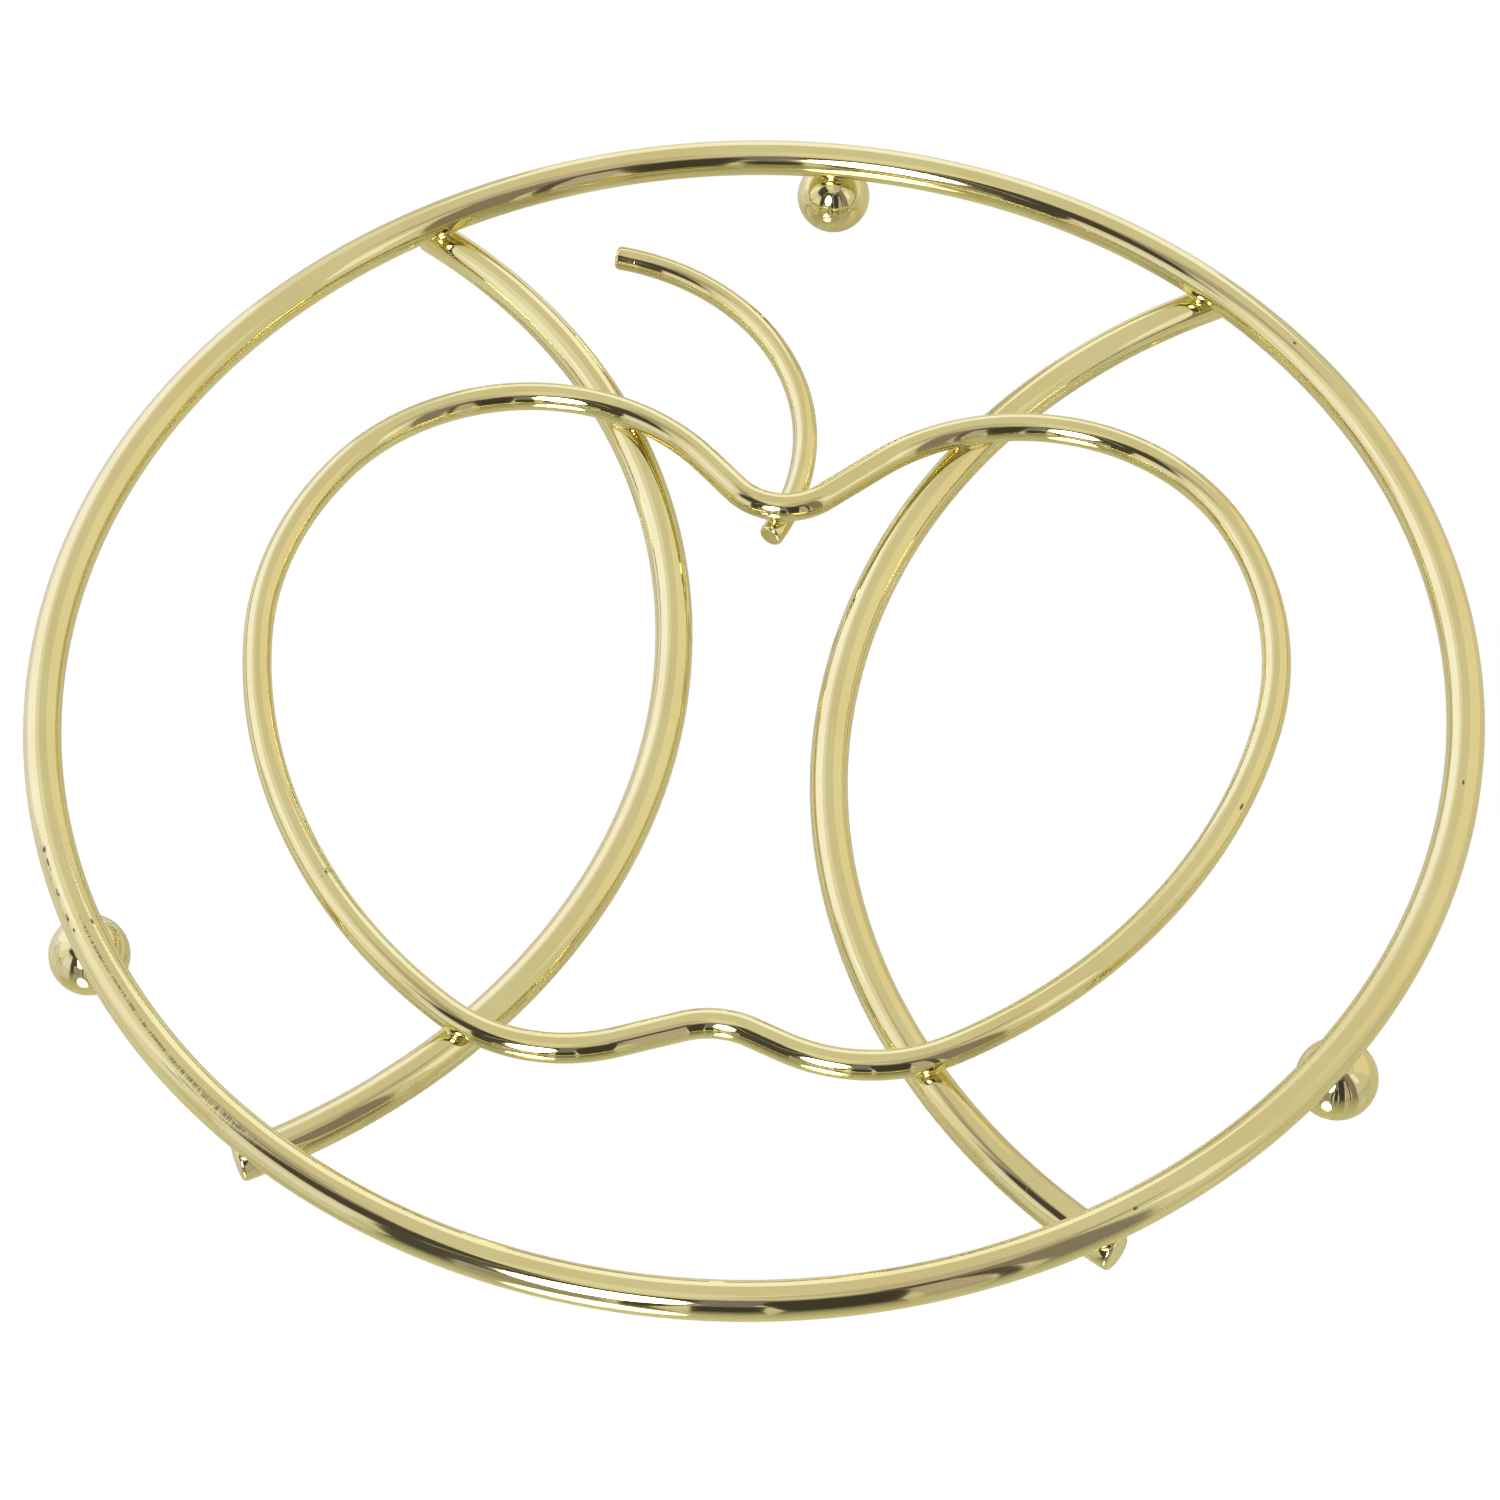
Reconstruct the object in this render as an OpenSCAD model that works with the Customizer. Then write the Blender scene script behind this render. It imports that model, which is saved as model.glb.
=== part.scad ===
// Round wire trivet with an apple drawn in bent wire
// Millimetres, +Z up. The ring is centred on the origin and the feet stand on Z = 0.
// The apple's stem points to +Y. All wires are welded together, nothing moves.

/* [Ring] */
// Diameter over the outside of the ring
ring_across = 200; // [170:1:240]
// Thickness of the ring wire
ring_wire_d = 5.2; // [4:0.1:7]
// Direction of the butt weld that closes the ring, from +X
ring_seam_angle = 204; // [195:1:206]

/* [Bows] */
// Thickness of the two bow wires under the apple
bow_wire_d = 5.2; // [4:0.1:7]
// Distance between the two bows where they come closest
bow_waist = 23; // [16:0.5:34]
// How far that closest place lies in front of the ring's centre
bow_waist_front = 3.5; // [0:0.5:8]
// Bend radius of each bow behind its closest place
bow_back_r = 97.5; // [85:0.5:115]
// Bend radius of each bow in front of its closest place
bow_front_r = 90.5; // [80:0.5:110]
// Length of bow that runs on past the middle of the ring wire
bow_overrun = 1.8; // [1:0.1:5]

/* [Apple] */
// Thickness of the apple's wire
apple_wire_d = 4; // [3:0.1:5]
// The notch at the top of the apple, measured back from the ring's centre
notch_back = 30.5; // [24:0.5:36]
// Straight distance from the notch at the top to the bump at the bottom
apple_drop = 86.8; // [80:0.1:93]
// How far the whole apple is turned on the bows
apple_turn = 1.5; // [-3:0.5:4]
// Bend radius of the notch at the top
notch_r = 9; // [6:0.5:12]
// Bend radius of the two shoulders
shoulder_r = 33; // [30:0.5:36]
// Bend radius of the two lobes at the bottom
lobe_r = 24.5; // [22:0.5:28]
// Bend radius of the bump between the lobes
bump_r = 12; // [8:0.5:16]

/* [Right side of the apple] */
// Straight slope between the notch and the right shoulder
right_slope = 9.7; // [4:0.1:14]
// Straight dip between the right lobe and the bump
right_dip = 4.8; // [2:0.1:9]
// Turn of the wire from the notch to the right slope
right_notch_bend = 43; // [41:1:45]
// Turn along the right flank
right_flank_bend = 40.5; // [38.5:0.5:42.5]
// Turn along the lower right side
right_lower_bend = 47; // [45:1:49]
// Turn round the right lobe
right_lobe_bend = 54; // [52:0.5:56]
// Turn from the right dip up to the bump
right_bump_bend = 22.5; // [20.5:0.5:24.5]

/* [Left side of the apple] */
// Straight slope between the notch and the left shoulder
left_slope = 7.3; // [3:0.1:12]
// Straight dip between the left lobe and the bump
left_dip = 9; // [4:0.1:13]
// Turn of the wire from the notch to the left slope
left_notch_bend = 45; // [43:0.5:47]
// Turn along the left flank
left_flank_bend = 37; // [35:0.5:39]
// Turn along the lower left side
left_lower_bend = 48.5; // [46.5:0.5:50.5]
// Turn round the left lobe
left_lobe_bend = 56.5; // [54.5:0.5:58.5]
// Turn from the left dip up to the bump
left_bump_bend = 21; // [19:1:23]

/* [Stem] */
// Thickness of the stem wire
stem_wire_d = 3.5; // [2.5:0.1:4.5]
// Bend radius of the stem
stem_r = 36; // [28:0.5:45]
// Lean of the stem to the right where it passes under the notch
stem_lean = 19; // [5:1:30]
// Turn of the stem from the notch to its free end
stem_bend = 102; // [70:1:115]
// Length of stem that runs on past the middle of the notch wire
stem_tail = 2.5; // [2:0.1:6]

/* [Feet] */
// Diameter of the ball feet
foot_d = 10.9; // [8:0.1:16]
// Angle at the ring's centre between the back foot and each front foot
foot_spread = 121.4; // [115:0.1:125]

/* [Welds] */
// How far welding sets one piece into the next
weld_set = 0.3; // [0.1:0.05:0.5]
// Least diameter of the weld metal round each crossing
weld_d = 5; // [4:0.1:6]
// Least width of weld metal at the ends of the seat that it goes round
weld_rim = 0.4; // [0.2:0.1:1]
// Width of the weld that closes a bent loop
seam_w = 0.8; // [0.4:0.1:2]
// Rounding of the cut wire ends
end_round = 0.6; // [0.2:0.1:1]

/* [Hidden] */
$fn = 72;
plating = "#d3c68d";
weld_tone = "#dcc064";

// How finely the bent wires are drawn
wire_sides = 20;
wire_sag = 0.05;
widest_step = 8;
end_steps = 3;

// Radius of the ring's centre line
ring_r = (ring_across - ring_wire_d) / 2;

// Heights of the centre lines: each wire is set into the one that it lies on
foot_z = foot_d / 2;
ring_z = foot_d + ring_wire_d / 2 - weld_set;
bow_z = ring_z - (ring_wire_d + bow_wire_d) / 2 + weld_set;
apple_z = bow_z + (bow_wire_d + apple_wire_d) / 2 - weld_set;
stem_z = apple_z - (apple_wire_d + stem_wire_d) / 2 + weld_set;

// Sides and ends, as signs along X and Y
LEFT = -1;
RIGHT = 1;
BACK = 1;
FRONT = -1;

// A bent wire is a list of pieces: [radius, turn] is a bend and [length, 0] is a straight.
// A turn above zero goes to the left. A pose is [x, y, heading].
function along_bend(p, r, turn) = [
    p.x + r * (sin(p.z + turn) - sin(p.z)),
    p.y - r * (cos(p.z + turn) - cos(p.z)),
    p.z + turn
];
function along_straight(p, len) = [p.x + len * cos(p.z), p.y + len * sin(p.z), p.z];
function after(p, piece) =
    piece[1] == 0 ? along_straight(p, piece[0]) : along_bend(p, sign(piece[1]) * piece[0], piece[1]);
function poses(p, pieces, i = 0) =
    i == len(pieces) ? [p] : concat([p], poses(after(p, pieces[i]), pieces, i + 1));
function reversed(list) = [for (i = [len(list) - 1:-1:0]) list[i]];

// One side of the apple, from the notch down to the bump
function side_pieces(bends, slope, dip, seam, flank_r, lower_r) = let (
    notch = bends[0], flank = bends[1], lower = bends[2], lobe = bends[3], bump = bends[4],
    shoulder = 180 + notch + bump - flank - lower - lobe
) concat(
    [[notch_r, notch], [slope, 0], [shoulder_r, -shoulder], [flank_r, -flank]],
    seam > 0
        ? [[lower_r, -lower / 2], [seam, 0], [lower_r, -lower / 2]]
        : [[lower_r, -lower]],
    [[lobe_r, -lobe], [dip, 0], [bump_r, bump]]
);

// The flank and the long lower side get the two radii that bring the wire to the bump's middle.
// With both radii at zero the side falls short of it, and each radius makes up for some of that
// along the chord of its bend.
function chord(heading, turn) = let (e = along_bend([0, 0, heading], -1, -turn)) [e.x, e.y];
function closed_side(bends, slope, dip, seam) = let (
    bare = poses([0, 0, 0], side_pieces(bends, slope, dip, seam, 0, 0)),
    end = bare[len(bare) - 1],
    short = [-end.x, -apple_drop - end.y],
    flank = chord(bare[3].z, bends[1]),
    lower = chord(bare[4].z, bends[2]),
    both = flank.x * lower.y - flank.y * lower.x,
    flank_r = (short.x * lower.y - short.y * lower.x) / both,
    lower_r = (flank.x * short.y - flank.y * short.x) / both
) side_pieces(bends, slope, dip, seam, flank_r, lower_r);

right_bends = [right_notch_bend, right_flank_bend, right_lower_bend, right_lobe_bend, right_bump_bend];
left_bends = [left_notch_bend, left_flank_bend, left_lower_bend, left_lobe_bend, left_bump_bend];
right_side = closed_side(right_bends, right_slope, right_dip, 0);
left_side = reversed(closed_side(left_bends, left_slope, left_dip, seam_w));

// The whole apple, once round: the notch and the bump are each one bend from side to side
apple_pieces = concat(
    [[notch_r, left_notch_bend + right_notch_bend]],
    [for (i = [1:len(right_side) - 2]) right_side[i]],
    [[bump_r, right_bump_bend + left_bump_bend]],
    [for (i = [1:len(left_side) - 2]) left_side[i]]
);
notch = [0, notch_back, apple_turn];
apple_poses = poses(along_bend(notch, notch_r, -left_notch_bend), apple_pieces);
apple_seam = search([[seam_w, 0]], apple_pieces)[0];

// Where two circles in the plan cross: the point to the left of the line from centre a to b
function circles_cross(a, ra, b, rb) = let (
    d = norm(b - a),
    t = (ra * ra - rb * rb + d * d) / (2 * d),
    h = sqrt(ra * ra - t * t),
    u = (b - a) / d
) a + t * u + h * [-u.y, u.x];

// The bows: each has one bend behind its waist and one in front of it
function bow_r(end) = end == BACK ? bow_back_r : bow_front_r;
function bow_centre(side, end) = [side * (bow_waist / 2 + bow_r(end)), -bow_waist_front];
function ring_cross(side, end) =
    side * end > 0
        ? circles_cross([0, 0], ring_r, bow_centre(side, end), bow_r(end))
        : circles_cross(bow_centre(side, end), bow_r(end), [0, 0], ring_r);
function bow_turn(end) = let (
    p = ring_cross(RIGHT, end), c = bow_centre(RIGHT, end)
) atan2(abs(p.y - c.y), c.x - p.x) + bow_overrun / bow_r(end) * 180 / PI;
function bow_waist_pose(side) = [side * bow_waist / 2, -bow_waist_front, 90];
function bow_start(side) =
    along_bend(bow_waist_pose(side), -side * bow_front_r, side * bow_turn(FRONT));
function bow_pose(side, end) = end == FRONT ? bow_start(side) : bow_waist_pose(side);
function bow_piece(side, end) = [bow_r(end), -side * bow_turn(end)];

// The centre of a bend, and a vector square to a piece of wire at the point q of it
function square_to(heading) = [-sin(heading), cos(heading)];
function bend_centre(p, piece) = [p.x, p.y] + sign(piece[1]) * piece[0] * square_to(p.z);
function across(q, p, piece) =
    piece[1] == 0 ? square_to(p.z) : [q.x, q.y] - bend_centre(p, piece);

// Where a piece of the apple crosses a circle: a list of [x, y, number of the piece]
function on_bend(p, piece, q) = let (
    c = bend_centre(p, piece),
    v = q - c,
    w = [p.x, p.y] - c,
    swept = atan2(w.x * v.y - w.y * v.x, w.x * v.x + w.y * v.y) * sign(piece[1])
) swept >= 0 && swept <= abs(piece[1]);
function bend_hits(i, c, r) = let (
    p = apple_poses[i],
    piece = apple_pieces[i],
    b = bend_centre(p, piece),
    gap = norm(b - c)
) gap > r + piece[0] || gap < abs(r - piece[0])
    ? []
    : [for (q = [circles_cross(c, r, b, piece[0]), circles_cross(b, piece[0], c, r)])
        if (on_bend(p, piece, q)) [q.x, q.y, i]];
function straight_hits(i, c, r) = let (
    p = apple_poses[i],
    u = [cos(p.z), sin(p.z)],
    v = c - [p.x, p.y],
    t = v * u,
    off = norm(v - t * u)
) off > r
    ? []
    : [for (k = [-1, 1]) let (s = t + k * sqrt(r * r - off * off))
        if (s >= 0 && s <= apple_pieces[i][0]) [p.x + s * u.x, p.y + s * u.y, i]];
function apple_cross(side, end) = [
    for (i = [0:len(apple_pieces) - 1])
        for (q = apple_pieces[i][1] == 0
                ? straight_hits(i, bow_centre(side, end), bow_r(end))
                : bend_hits(i, bow_centre(side, end), bow_r(end)))
            if (end * (q.y + bow_waist_front) > 0) q
][0];

// The stem crosses under the middle of the notch
stem_cross = [notch.x, notch.y, 90 - stem_lean];
stem_tail_turn = stem_tail / stem_r * 180 / PI;
stem_start = along_bend(stem_cross, stem_r, -stem_tail_turn);
stem_piece = [stem_r, stem_bend + stem_tail_turn];

// Feet stand under the ring wire, one behind and two in front
function foot_at(turn) = [ring_r * cos(90 + turn), ring_r * sin(90 + turn)];

// The places along a bent wire where its outline is drawn, close enough together that no
// chord stands further than wire_sag off the bend
function bend_steps(piece) =
    piece[1] == 0 ? 1 : ceil(abs(piece[1]) / min(widest_step, 2 * acos(1 - wire_sag / piece[0])));
function stations(p, pieces, i = 0) = i == len(pieces) ? [p] : let (
    r = pieces[i][0], turn = pieces[i][1], steps = bend_steps(pieces[i])
) concat(
    [p],
    [for (k = [1:1:steps - 1]) after(p, [r, turn * k / steps])],
    stations(after(p, pieces[i]), pieces, i + 1)
);

// The rounded edge of a cut end that points along the pose: a list of [pose, radius]
function end_rings(p, d) = [
    for (k = [0:end_steps]) let (a = 90 * k / end_steps)
        [along_straight(p, end_round * sin(a)), d / 2 - end_round * (1 - cos(a))]
];
function cut_wire(list, d) = let (
    last = list[len(list) - 1],
    start = [list[0].x, list[0].y, list[0].z + 180],
    start_rings = reversed([for (g = end_rings(start, d)) [g[0] - [0, 0, 180], g[1]]])
) concat(
    start_rings,
    [for (i = [1:len(list) - 2]) [list[i], d / 2]],
    end_rings(last, d)
);

// A solid skinned over rings of wire_sides points, each ring square to its pose
module skinned(rings) {
    last = len(rings) - 1;
    points = [
        for (g = rings) for (k = [0:wire_sides - 1]) let (a = 360 * k / wire_sides, p = g[0])
            [p.x - g[1] * cos(a) * sin(p.z), p.y + g[1] * cos(a) * cos(p.z), g[1] * sin(a)]
    ];
    walls = [
        for (i = [0:last - 1]) for (k = [0:wire_sides - 1]) let (n = (k + 1) % wire_sides)
            [for (v = [[i + 1, k], [i + 1, n], [i, n], [i, k]]) v[0] * wire_sides + v[1]]
    ];
    front = [for (k = [0:wire_sides - 1]) k];
    back = [for (k = [wire_sides - 1:-1:0]) last * wire_sides + k];
    polyhedron(points, concat([front], walls, [back]));
}

// The same piece of wire, run on at both ends, so that it cuts all of a seat near its end
function run_on(p, piece, by) =
    piece[1] == 0
        ? [along_straight(p, -by), [piece[0] + 2 * by, 0]]
        : let (more = sign(piece[1]) * by / piece[0] * 180 / PI)
            [along_bend(p, sign(piece[1]) * piece[0], -more), [piece[0], piece[1] + 2 * more]];

// The true round surface of one piece of a bent wire
module wire_piece(p, piece, d) {
    translate([p.x, p.y, 0]) rotate(p.z)
        if (piece[1] == 0)
            rotate([0, 90, 0]) cylinder(d = d, h = piece[0]);
        else
            translate([0, sign(piece[1]) * piece[0], 0])
                rotate(piece[1] > 0 ? -90 : 90 + piece[1])
                    rotate_extrude(angle = abs(piece[1])) translate([piece[0], 0]) circle(d = d);
}

module ring_wire() {
    translate([0, 0, ring_z])
        rotate_extrude() translate([ring_r, 0]) circle(d = ring_wire_d);
}
ring_seam_turn = seam_w / ring_r * 180 / PI;
module ring_arc(start, turn) {
    translate([0, 0, ring_z]) rotate(start)
        rotate_extrude(angle = turn) translate([ring_r, 0]) circle(d = ring_wire_d);
}

// What the seats and welds are cut with: one piece of a wire, run on past the weld metal
module cutting_wire(p, piece, d, z) {
    longer = run_on(p, piece, weld_d);
    translate([0, 0, z]) wire_piece(longer[0], longer[1], d);
}
module bow_cut(side, end) {
    cutting_wire(bow_pose(side, end), bow_piece(side, end), bow_wire_d, bow_z);
}
module apple_cut(i) {
    cutting_wire(apple_poses[i], apple_pieces[i], apple_wire_d, apple_z);
}
module stem_cut() {
    cutting_wire(stem_start, stem_piece, stem_wire_d, stem_z);
}

module foot_ball(turn) {
    translate([foot_at(turn).x, foot_at(turn).y, foot_z]) sphere(d = foot_d);
}

// How long the seat of two crossing wires is. It grows as they cross at a smaller angle. Each
// wire is given by its thickness and a vector square to it.
function seat_length(d1, across1, d2, across2) = let (
    sine = cross(across1, across2) / (norm(across1) * norm(across2)),
    both = 1 / d1 + 1 / d2
) 2 * sqrt(2 * weld_set / (both - sqrt(both * both - 4 * sine * sine / (d1 * d2))));
// The seat of a ball under the ring, along the ring
foot_seat = 2 * sqrt(weld_set * foot_d);

// Weld metal round a crossing, before the two pieces that it joins are taken out of it
module weld_metal(p, z, seat) {
    translate([p.x, p.y, z]) sphere(d = max(weld_d, seat + 2 * weld_rim));
}

module outer_ring() {
    color(plating)
        ring_arc(ring_seam_angle + ring_seam_turn / 2, 360 - ring_seam_turn);
}

module ring_seam_weld() {
    color(weld_tone)
        ring_arc(ring_seam_angle - ring_seam_turn / 2, ring_seam_turn);
}

// A bow is dished where the ring and the apple are welded into it
module bow(side) {
    pieces = [bow_piece(side, FRONT), bow_piece(side, BACK)];
    color(plating) difference() {
        translate([0, 0, bow_z]) skinned(cut_wire(stations(bow_start(side), pieces), bow_wire_d));
        ring_wire();
        for (end = [BACK, FRONT]) apple_cut(apple_cross(side, end)[2]);
    }
}

// The apple's wire runs once round from one face of its seam weld to the other
module apple_outline() {
    pieces = concat(
        [for (i = [apple_seam + 1:len(apple_pieces) - 1]) apple_pieces[i]],
        [for (i = [0:apple_seam - 1]) apple_pieces[i]]
    );
    color(plating) translate([0, 0, apple_z])
        skinned([for (p = stations(apple_poses[apple_seam + 1], pieces)) [p, apple_wire_d / 2]]);
}

module apple_seam_weld() {
    color(weld_tone) translate([0, 0, apple_z])
        wire_piece(apple_poses[apple_seam], apple_pieces[apple_seam], apple_wire_d);
}

module stem() {
    color(plating) difference() {
        translate([0, 0, stem_z])
            skinned(cut_wire(stations(stem_start, [stem_piece]), stem_wire_d));
        apple_cut(0);
    }
}

module foot(turn) {
    color(plating) difference() {
        foot_ball(turn);
        ring_wire();
    }
}

module ring_weld(side, end) {
    p = ring_cross(side, end);
    seat = seat_length(ring_wire_d, p, bow_wire_d, p - bow_centre(side, end));
    color(weld_tone) difference() {
        weld_metal(p, ring_z - ring_wire_d / 2 + weld_set / 2, seat);
        ring_wire();
        bow_cut(side, end);
    }
}

module apple_weld(side, end) {
    q = apple_cross(side, end);
    seat = seat_length(
        apple_wire_d, across(q, apple_poses[q[2]], apple_pieces[q[2]]),
        bow_wire_d, [q.x, q.y] - bow_centre(side, end)
    );
    color(weld_tone) difference() {
        weld_metal(q, apple_z - apple_wire_d / 2 + weld_set / 2, seat);
        apple_cut(q[2]);
        bow_cut(side, end);
    }
}

module stem_weld() {
    seat = seat_length(apple_wire_d, square_to(notch.z), stem_wire_d, square_to(stem_cross.z));
    color(weld_tone) difference() {
        weld_metal(stem_cross, apple_z - apple_wire_d / 2 + weld_set / 2, seat);
        apple_cut(0);
        stem_cut();
    }
}

module foot_weld(turn) {
    color(weld_tone) difference() {
        weld_metal(foot_at(turn), foot_d - weld_set / 2, foot_seat);
        ring_wire();
        foot_ball(turn);
    }
}

outer_ring();
bow(LEFT);  // left_bow
bow(RIGHT);  // right_bow
apple_outline();
stem();
foot(0);  // back_foot
foot(foot_spread);  // left_foot
foot(-foot_spread);  // right_foot
ring_weld(LEFT, BACK);  // ring_weld_back_left
ring_weld(RIGHT, BACK);  // ring_weld_back_right
ring_weld(LEFT, FRONT);  // ring_weld_front_left
ring_weld(RIGHT, FRONT);  // ring_weld_front_right
apple_weld(LEFT, BACK);  // apple_weld_back_left
apple_weld(RIGHT, BACK);  // apple_weld_back_right
apple_weld(LEFT, FRONT);  // apple_weld_front_left
apple_weld(RIGHT, FRONT);  // apple_weld_front_right
foot_weld(0);  // back_foot_weld
foot_weld(foot_spread);  // left_foot_weld
foot_weld(-foot_spread);  // right_foot_weld
stem_weld();
ring_seam_weld();
apple_seam_weld();
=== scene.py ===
# %% [markdown]
# # A wire trivet on three ball feet
#
# The real trivet is five bent wires and three balls, welded where they meet and then plated a
# pale gold. The CAD frame gives every piece its place. This script makes each piece again with
# the smooth bends, cut ends, weld beads and polished plating that a close look shows.

# %% Load the CAD frame
import math

import bmesh
import bpy
import numpy as np
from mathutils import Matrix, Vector


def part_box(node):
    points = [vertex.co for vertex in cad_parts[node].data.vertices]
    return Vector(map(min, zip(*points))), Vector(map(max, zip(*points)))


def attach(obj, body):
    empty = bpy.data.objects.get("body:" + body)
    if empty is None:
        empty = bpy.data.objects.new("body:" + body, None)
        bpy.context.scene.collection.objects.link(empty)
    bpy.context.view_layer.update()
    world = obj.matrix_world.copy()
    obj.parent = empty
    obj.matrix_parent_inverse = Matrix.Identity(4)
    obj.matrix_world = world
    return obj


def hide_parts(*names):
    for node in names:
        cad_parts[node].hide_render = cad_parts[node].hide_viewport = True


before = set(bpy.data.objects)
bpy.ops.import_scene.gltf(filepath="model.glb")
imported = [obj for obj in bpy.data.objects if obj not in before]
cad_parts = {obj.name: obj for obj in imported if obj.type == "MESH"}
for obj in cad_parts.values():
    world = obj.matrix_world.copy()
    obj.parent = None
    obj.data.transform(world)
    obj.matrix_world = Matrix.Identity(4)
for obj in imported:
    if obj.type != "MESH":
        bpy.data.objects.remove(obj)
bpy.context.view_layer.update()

MM = 0.001
for name, node in sorted(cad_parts.items()):
    print(f"{name}: {len(node.data.vertices)} points in the CAD frame")

# %% [markdown]
# ## The camera
#
# The trivet was photographed from well above its front edge, nearly head-on and from near enough
# that the front of the ring looks larger than the back. A long lens close by gives that view. A
# camera could be turned by hand until it looks right. Here it is placed by its angles, because
# they are what a photographer would write down.

# %% Camera
AIM_HEIGHT = 13.2 * MM
CAMERA_DISTANCE = 623.7 * MM
CAMERA_AZIMUTH = 8.09
CAMERA_ELEVATION = 53.08
CAMERA_ROLL = -1.17
LENS_PIXELS, PICTURE_PIXELS = 4537.7, 1500
SENSOR_WIDTH = 36
SHIFT_SHARES = (-0.0019, -0.0495)


def direction(azimuth, elevation):
    """The unit vector at an azimuth from the front, turning towards +X, and an elevation."""
    a, e = math.radians(azimuth), math.radians(elevation)
    return Vector((math.sin(a) * math.cos(e), -math.cos(a) * math.cos(e), math.sin(e)))


bpy.ops.object.select_all(action="DESELECT")
bpy.ops.object.camera_add()
camera = bpy.context.object
camera.name = "camera"
toward = direction(CAMERA_AZIMUTH, CAMERA_ELEVATION)
camera.location = Vector((0, 0, AIM_HEIGHT)) + CAMERA_DISTANCE * toward
camera.rotation_euler = toward.to_track_quat("Z", "Y").to_euler()
camera.rotation_euler.rotate_axis("Z", math.radians(CAMERA_ROLL))
camera.data.sensor_width = SENSOR_WIDTH
camera.data.lens = LENS_PIXELS / PICTURE_PIXELS * SENSOR_WIDTH
camera.data.shift_x, camera.data.shift_y = SHIFT_SHARES
bpy.context.scene.camera = camera
bpy.context.scene.view_settings.view_transform = "Standard"
print("camera at", [round(c, 4) for c in camera.location], "lens", round(camera.data.lens, 1))

# %% [markdown]
# ## Sizes
#
# The wires' heights are read off the CAD frame. Their thicknesses and bends are written again as
# sizes: a wire is a list of pieces, and each piece is a bend, given by its radius and turn, or a
# straight, given by its length and no turn. A turn above zero goes to the left.

# %% Sizes from the frame
LEFT, RIGHT, BACK, FRONT = -1, 1, 1, -1


def middle(node):
    """The middle of a CAD node's box."""
    low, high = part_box(node)
    return (low + high) / 2


RING_Z, BOW_Z = middle("outer_ring").z, middle("left_bow").z
APPLE_Z, STEM_Z = middle("apple_outline").z, middle("stem").z
RING_WIRE, BOW_WIRE, APPLE_WIRE, STEM_WIRE = 5.2 * MM, 5.2 * MM, 4 * MM, 3.5 * MM
RING_ACROSS = 200 * MM
RING_R = (RING_ACROSS - RING_WIRE) / 2
END_ROUND = 0.6 * MM
SEAM_WIDTH = 0.8 * MM
print("heights in mm", [round(z / MM, 2) for z in (RING_Z, BOW_Z, APPLE_Z, STEM_Z)])


# %% Following a bent wire
def sine(degrees):
    return math.sin(math.radians(degrees))


def cosine(degrees):
    return math.cos(math.radians(degrees))


def bend_centre(pose, piece):
    """The middle of a bend. A pose is x, y and the heading in degrees."""
    x, y, heading = pose
    r = math.copysign(piece[0], piece[1])
    return x - r * sine(heading), y + r * cosine(heading)


def along_bend(pose, r, turn):
    """A pose moved along a bend. The radius is above zero where the middle is on the left."""
    x, y, heading = pose
    end = heading + turn
    return x + r * (sine(end) - sine(heading)), y - r * (cosine(end) - cosine(heading)), end


def after(pose, piece):
    """Where a wire is after one more piece."""
    x, y, heading = pose
    size, turn = piece
    if turn == 0:
        return x + size * cosine(heading), y + size * sine(heading), heading
    return along_bend(pose, math.copysign(size, turn), turn)


def poses(pose, pieces):
    """The pose before each piece, and after the last."""
    found = [pose]
    for piece in pieces:
        found.append(after(found[-1], piece))
    return found


def piece_length(piece):
    """How much wire a piece takes."""
    return piece[0] if piece[1] == 0 else piece[0] * math.radians(abs(piece[1]))


def stretch(pose, pieces, start, end):
    """The part of a wire between two distances along it, as a pose and pieces."""
    first, kept, gone = None, [], 0
    for piece in pieces:
        length = piece_length(piece)
        low, high = max(start - gone, 0), min(end - gone, length)
        if high > low:
            share = (high - low) / length
            lead = low / length
            if first is None:
                first = after(pose, shortened(piece, lead)) if lead > 0 else pose
            kept.append(shortened(piece, share))
        pose = after(pose, piece)
        gone += length
    return first, kept


def shortened(piece, share):
    """The first share of a piece."""
    return (piece[0] * share, 0) if piece[1] == 0 else (piece[0], piece[1] * share)


# %% [markdown]
# ## The bows' and the apple's bends
#
# Each bow has one bend behind its waist and another in front, and runs a little past the middle
# of the ring's wire. The apple goes from the notch at its top round the right side to the bump at
# its bottom and back up the left. On each side the flank and the long lower side get the two
# radii that bring the wire to the bump, as a jig would.

# %% Bows
BOW_WAIST = 23 * MM
WAIST_FRONT = 3.5 * MM
BOW_R = {BACK: 97.5 * MM, FRONT: 90.5 * MM}
BOW_OVERRUN = 1.8 * MM


def bow_turn(end):
    """The turn from the waist to the wire's end."""
    r = BOW_R[end]
    centre = Vector((BOW_WAIST / 2 + r, -WAIST_FRONT))
    along = (RING_R ** 2 - r ** 2 + centre.length_squared) / (2 * centre.length)
    aside = end * math.sqrt(RING_R ** 2 - along ** 2)
    unit = centre.normalized()
    crossing = along * unit + aside * Vector((-unit.y, unit.x))
    turn = math.atan2(abs(crossing.y - centre.y), centre.x - crossing.x)
    return math.degrees(turn + BOW_OVERRUN / r)


def bow_path(side):
    """A bow from its front end to its back end."""
    waist = (side * BOW_WAIST / 2, -WAIST_FRONT, 90)
    start = along_bend(waist, -side * BOW_R[FRONT], side * bow_turn(FRONT))
    return start, [(BOW_R[end], -side * bow_turn(end)) for end in (FRONT, BACK)]


print("bow turns in degrees", [round(bow_turn(end), 2) for end in (FRONT, BACK)])


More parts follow.
